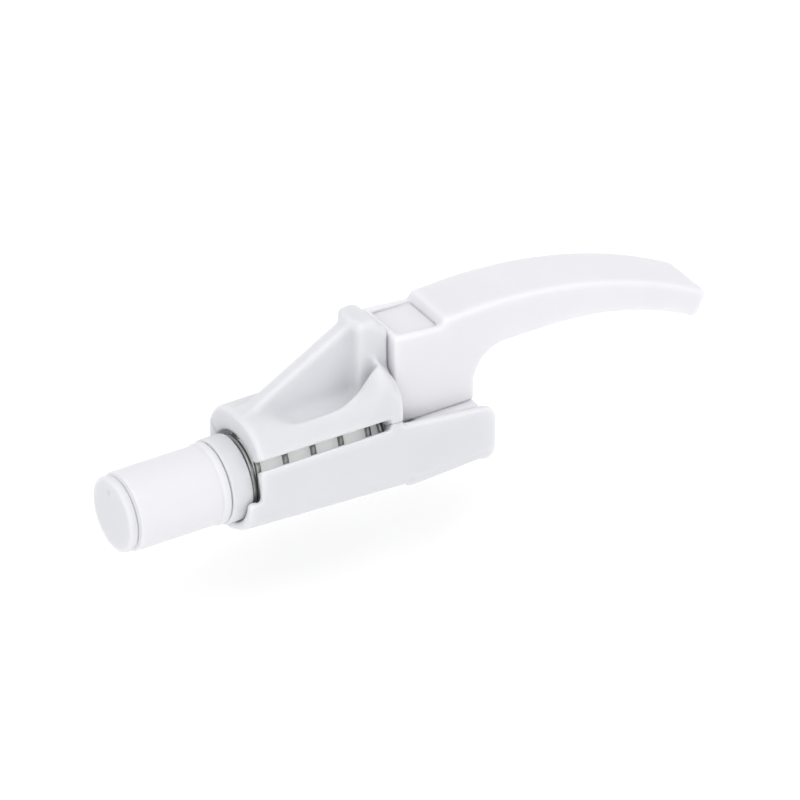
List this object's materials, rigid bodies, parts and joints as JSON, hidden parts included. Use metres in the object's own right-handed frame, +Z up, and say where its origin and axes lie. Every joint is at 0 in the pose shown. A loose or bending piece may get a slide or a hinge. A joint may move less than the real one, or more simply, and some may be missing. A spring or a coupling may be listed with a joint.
{
  "type": "stair gate latch",
  "caption": "Spring-loaded slide latch for a stair gate: round bolt, coil spring, arched housing with a trough, and a claw-shaped pull lever.",
  "frame": {"origin": "on the bolt's axis, in the plane of the hood's mouth", "axes": "+X back along the bolt's axis towards the lever, +Z up, +Y to the left seen from the bolt's side facing +X"},
  "size_m": [0.169, 0.0268, 0.0495],
  "materials": {
    "white_plastic": "satin, injection moulded",
    "shell_plastic": "fine satin, injection moulded",
    "steel": "bright drawn wire and plated screws"
  },
  "bodies": {
    "housing": {"housing_hood": "shell_plastic", "housing_cradle": "shell_plastic", "stop_screw": "steel", "compression_spring": "steel"},
    "bolt_and_lever": {"bolt_barrel": "white_plastic", "bolt_nose": "white_plastic", "thrust_collar": "shell_plastic", "drive_pin": "steel", "guide_rod": "white_plastic", "slider_carriage": "white_plastic", "pull_lever": "white_plastic", "screw_cover": "white_plastic", "rod_screw": "steel", "screw_washer": "steel", "lever_screws": "steel"}
  },
  "joints": [
    {"name": "bolt_slide", "type": "slide", "parent": "housing", "child": "bolt_and_lever", "axis": [1, 0, 0], "range_m": [0, 0.014], "stiffness_N_per_m": 1900, "springref_m": -0.006, "deforming": ["compression_spring"]}
  ]
}
